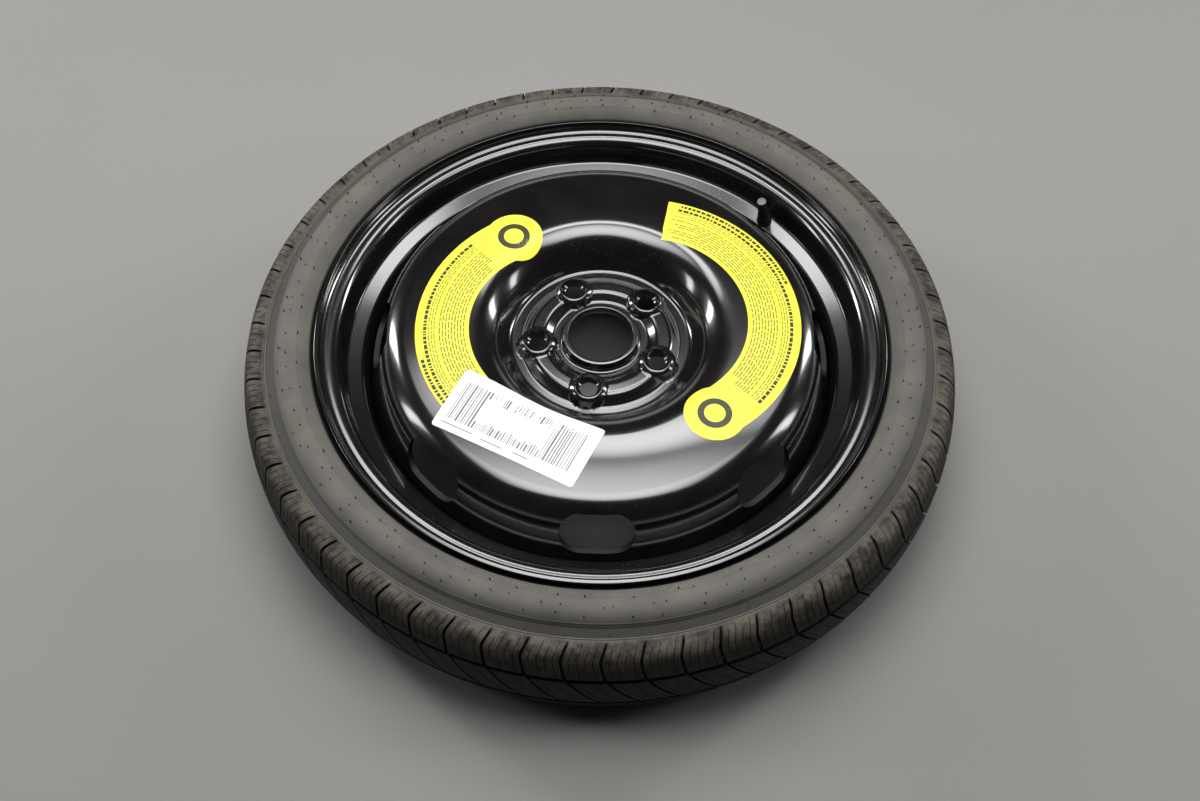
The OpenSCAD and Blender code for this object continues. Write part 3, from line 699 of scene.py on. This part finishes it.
# Dashes along arcs round the sticker's middle: rows of (radius, height, from, to, dash, gap)
def inkRows(name, middle, rows, lift, material):
    points, faces = [], []
    picks = np.random.default_rng(7)
    for radius, tall, first, last, dash, gap in rows:
        angle = math.radians(first)
        while angle < math.radians(last):
            long = dash * picks.uniform(0.5, 1.6)
            turn = long / radius
            if angle + turn > math.radians(last):
                break
            steps = max(1, math.ceil(long / 3))
            start = len(points)
            for i in range(steps + 1):
                for r in (radius - tall / 2, radius + tall / 2):
                    t = angle + turn * i / steps
                    points.append((middle[0] + r * math.cos(t), middle[1] + r * math.sin(t)))
            faces += numberedFrom(start, gridFaces(steps + 1, 2, closedColumns=False))
            angle += turn + gap / radius
    return makeObject(name, onDisc(points, lift), faces, material)


def flatRing(name, middle, outer, inner, lift, material):
    steps = 48
    points = [(middle[0] + r * math.cos(t), middle[1] + r * math.sin(t))
              for r in (inner, (inner + outer) / 2, outer) for t in np.arange(steps) * math.tau / steps]
    return makeObject(name, onDisc(points, lift), [f[::-1] for f in gridFaces(3, steps)], material)


def finishSticker(piece, node):
    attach(piece, "wheel")
    if node:
        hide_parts(node)


filmTop = sticker["film"] + sticker["glue"]
inkTop = filmTop + sticker["ink"]
for side, middle, straightAt in sticker["places"]:
    loop, endMid = bandLoop(middle, straightAt)
    film = patch("sticker_" + side, loop, filmTop, vinyl, sticker["grid"])
    finishSticker(film, "speed_sticker_" + side)
    last, first = straightAt - 3, straightAt - sticker["arc"] + 17
    rows = [(95.5 + 2.6 * i, 1.1, first + (4 if i < 3 else 0), last - 10 * (i % 3 == 1), 5.0, 1.4)
            for i in range(9)]
    rows += [(121 + 2.3 * i, 0.9, first, last - 6 * (i % 2), 4.0, 1.1) for i in range(3)]
    finishSticker(inkRows("small_print_" + side, middle, rows, inkTop, vinylInk), None)
    big = [(129.0, 2.9, first, last, 3.2, 1.1), (134.0, 2.9, straightAt - 62, last, 3.2, 1.1)]
    finishSticker(inkRows("large_print_" + side, middle, big, inkTop, darkInk), None)
    finishSticker(flatRing("end_ring_" + side, endMid, *sticker["ring"], inkTop, darkInk), None)
print("stickers made")


# Stock label: a paper strip with plain bars that hold no code, and three thin lines under them
label = {"middle": (-66.5, -109.9), "turn": -26.6, "length": 132.0, "width": 60.0, "corner": 3.0,
         "lift": 0.3, "grid": 3.0, "bars": (-58, 56), "blank": (-36, 26), "reach": 19, "ink": 0.03,
         "upper": (9, 14), "lower": (-13, -9), "gap": (0.9, 2.2), "widths": [0.5, 0.9, 1.5],
         "shares": [0.5, 0.3, 0.2], "lines": ((-60, -24, 30), (-22, -25, 20), (8, -24, 14)), "line": 0.8}


def onLabel(x, y):
    a = math.radians(label["turn"])
    return (label["middle"][0] + x * math.cos(a) - y * math.sin(a),
            label["middle"][1] + x * math.sin(a) + y * math.cos(a))


def labelLoop():
    w, h, r = label["length"] / 2, label["width"] / 2, label["corner"]
    loop = []
    for sx, sy, start in ((1, 1, 0), (-1, 1, 90), (-1, -1, 180), (1, -1, 270)):
        for a in np.radians(np.linspace(start, start + 90, 5)):
            loop.append((sx * (w - r) + r * math.cos(a), sy * (h - r) + r * math.sin(a)))
    return np.array([onLabel(*p) for p in resampled(np.array(loop + loop[:1]), label["grid"])[:-1]])


def labelBars():
    points, faces = [], []
    picks = np.random.default_rng(11)

    def bar(x0, x1, y0, y1):
        nx, ny = max(1, math.ceil((x1 - x0) / 4)), max(1, math.ceil((y1 - y0) / 4))
        start = len(points)
        points.extend(onLabel(x0 + (x1 - x0) * i / nx, y0 + (y1 - y0) * j / ny)
                      for j in range(ny + 1) for i in range(nx + 1))
        faces.extend(numberedFrom(start, gridFaces(ny + 1, nx + 1, closedColumns=False)))

    # tall bars at both ends, short ones above and below a blank field between them
    x, reach = label["bars"][0], label["reach"]
    while x < label["bars"][1]:
        wide = picks.choice(label["widths"], p=label["shares"])
        if label["blank"][0] < x < label["blank"][1]:
            if picks.random() < 0.8:
                bar(x, x + wide, picks.uniform(*label["upper"]), reach)
            if picks.random() < 0.9:
                bar(x, x + wide, -reach, picks.uniform(*label["lower"]))
        else:
            bar(x, x + wide, -reach, reach)
        x += wide + picks.uniform(*label["gap"])
    for x, y, long in label["lines"]:
        bar(x, x + long, y, y + label["line"])
    return makeObject("label_bars", onDisc(points, label["lift"] + label["ink"]), faces, labelInk)


paperFilm = patch("label_film", labelLoop(), label["lift"], labelPaper, label["grid"])
finishSticker(paperFilm, "stock_label")
finishSticker(labelBars(), None)
print("label made")


# Valve: it stands on the rim's ledge and leans. Outlines are (radius, height) about its own axis,
# with heights from the ledge's face.
valve = {"radius": 218.52, "height": 21.15, "angle": 45.0, "lean": 15.0,
         "body": [(2.95, -12.2), (6.25, -12.2, 1), (7.65, -8.2, 1.5), (6.05, -4.0, 0.6), (5.9, -3.4),
                  (5.6, -3.4), (5.6, 0.15), (6.85, 0.8, 0.4), (7.05, 2.4, 1.0), (6.25, 5.0, 3), (5.6, 9),
                  (5.3, 9.1), (5.3, 9.7), (5.5, 9.8), (4.45, 20, 2), (4.05, 22, 0.3), (2.95, 22)],
         "cap": [(3.9, 22.3), (4.25, 22.3), (4.5, 22.6), (4.5, 23.6), (4.45, 23.9), (4.42, 31.4),
                 (4.5, 31.8), (4.5, 34.2), (4.35, 34.75), (3.9, 35.1), (2.9, 35.1), (2.6, 34.8),
                 (0.02, 34.8), (0.02, 33.9), (3.9, 33.9)],
         "gripRows": (4, 5), "topRows": (9, 10, 11), "grips": 20, "gripDepth": 0.14}


def onValve(piece):
    place = (Matrix.Rotation(math.radians(valve["angle"]), 4, "Z")
             @ Matrix.Translation(Vector((valve["radius"], 0, valve["height"])) * mm)
             @ Matrix.Rotation(math.radians(-valve["lean"]), 4, "Y"))
    piece.data.transform(place)
    return piece


def makeValveBody():
    return onValve(revolved("valve_rubber", rounded(valve["body"], 12), 48, valveRubber, sharp=40))


# A slim cap with fine grips on its side and a flat top drawn light grey as a painted highlight
def makeCap():
    count = 120
    angles = np.arange(count) * math.tau / count
    rows = []
    for i, (r, z) in enumerate(valve["cap"]):
        wave = 1 + np.cos(angles * valve["grips"]) if i in valve["gripRows"] else 0
        r = r - valve["gripDepth"] * wave
        rows.append(np.stack([r * np.cos(angles), r * np.sin(angles), z + 0 * angles], axis=1))
    faces = gridFaces(len(rows), count, closedRows=True)
    piece = makeObject("cap_shell", np.vstack(rows), faces, capPlastic, 40)
    piece.data.materials.append(capTopHighlight)
    for face in piece.data.polygons:
        if face.index // count in valve["topRows"]:
            face.material_index = 1
    return onValve(piece)


valveShell, capShell = makeValveBody(), makeCap()
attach(valveShell, "wheel")
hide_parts("valve_body")
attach(capShell, "cap")
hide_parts("valve_cap")

# These small pieces keep the shapes of their solids
plainNodes = {"valve_stem": brass, "core_barrel": brass, "core_pin": brass, "core_spring": springSteel,
              "core_gasket": sealRubber, "core_cup": sealRubber, "cap_seal": sealRubber,
              "weld_seams": discPaint}
for node, material in plainNodes.items():
    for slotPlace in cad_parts[node].material_slots:
        slotPlace.material = material
print("valve made")


# Studio: matt grey floor, a wide soft box overhead with a narrow one behind it, two soft lamps on each
# side and a low one far behind. Lamps are (name, place, size, watts) in metres.
studio = {"floor": ("#91908D", "#959491"), "floorZ": -62.5, "floorGap": 0.05, "floorHalf": 9000,
          "floorClouds": 3.0, "air": "#C9CACC", "worldStrength": 0.035, "fade": 3.0, "middleStrength": 1.78,
          "lamps": [
              ("overhead", (0.0, 0.08, 1.6), (1.5, 1.05), 20),
              ("overheadFar", (0.0, 0.82, 1.6), (1.5, 0.34), 8),
              ("leftNear", (-2.0, 0.05, 1.0), (0.35, 1.2), 7),
              ("leftFar", (-1.9, 1.15, 1.0), (0.35, 1.2), 20),
              ("rightNear", (2.0, 0.05, 1.0), (0.35, 1.2), 7),
              ("rightFar", (1.9, 1.15, 1.0), (0.35, 1.2), 15),
              ("backdrop", (0.0, 3.0, 0.4), (4.0, 0.9), 5)]}


# A soft box fades towards its edges, so highlights in the enamel have no hard ends
def softEdges(data):
    data.use_nodes = True
    tree = data.node_tree
    spot = addNode(tree, "ShaderNodeNewGeometry").outputs["Parametric"]
    parts = addNode(tree, "ShaderNodeSeparateXYZ", [("Vector", spot)])
    strength = studio["middleStrength"]
    for axis in (0, 1):
        away = calc(tree, "ABSOLUTE", calc(tree, "SUBTRACT", parts.outputs[axis], 0.5))
        fade = calc(tree, "POWER", calc(tree, "MULTIPLY", away, 2.0), studio["fade"])
        strength = calc(tree, "MULTIPLY", calc(tree, "SUBTRACT", 1.0, fade), strength)
    tree.links.new(strength, tree.nodes["Emission"].inputs["Strength"])


def makeStudio():
    # backdrop paper is matt, with faint wide clouds
    material, tree, shader = newMaterial("matPaperFloor", Roughness=0.85)
    where = addNode(tree, "ShaderNodeTexCoord").outputs["Object"]
    clouds = noise(tree, where, studio["floorClouds"], 3.0)
    tree.links.new(mixed(tree, clouds, *(toLinear(c) for c in studio["floor"])), shader.inputs["Base Color"])
    w, z = studio["floorHalf"], studio["floorZ"] - studio["floorGap"]
    floor = makeObject("floor", [(-w, -w, z), (w, -w, z), (w, w, z), (-w, w, z)], [(0, 1, 2, 3)], material)
    for name, place, size, watts in studio["lamps"]:
        data = bpy.data.lights.new(name, "AREA")
        data.shape, data.size, data.size_y, data.energy = "RECTANGLE", size[0], size[1], watts
        softEdges(data)
        lamp = bpy.data.objects.new(name, data)
        lamp.location = place
        lamp.rotation_mode = "QUATERNION"
        lamp.rotation_quaternion = (Vector((0, 0, 0)) - Vector(place)).to_track_quat("-Z", "Y")
        bpy.context.collection.objects.link(lamp)
    world = bpy.data.worlds.new("studioAir")
    bpy.context.scene.world = world
    world.use_nodes = True
    back = world.node_tree.nodes["Background"]
    back.inputs["Color"].default_value = toLinear(studio["air"])
    back.inputs["Strength"].default_value = studio["worldStrength"]


makeStudio()

# Camera: fitted to the five bolt holes, the bore and the flange. Focal length for a 36 mm sensor,
# distance in metres, angles in radians.
camera = {"focal": 39.47, "distance": 1.19439, "elevation": 0.9569, "pan": 0.0004, "tilt": 0.0293,
          "roll": -0.0186}


def makeCamera():
    data = bpy.data.cameras.new("camera")
    data.lens, data.sensor_width = camera["focal"], 36
    shot = bpy.data.objects.new("camera", data)
    bpy.context.collection.objects.link(shot)
    e = camera["elevation"]
    place = Vector((0, -math.cos(e), math.sin(e))) * camera["distance"]
    ahead = -place.normalized()
    right = Vector((1, 0, 0))
    rows = Matrix((right, right.cross(ahead), -ahead))
    turned = (Matrix.Rotation(camera["roll"], 3, "Z") @ Matrix.Rotation(camera["tilt"], 3, "X")
              @ Matrix.Rotation(camera["pan"], 3, "Y") @ rows)
    shot.matrix_world = Matrix.Translation(place) @ turned.transposed().to_4x4()
    bpy.context.scene.camera = shot


makeCamera()
bpy.context.scene.view_settings.view_transform = "Standard"
print("scene ready")
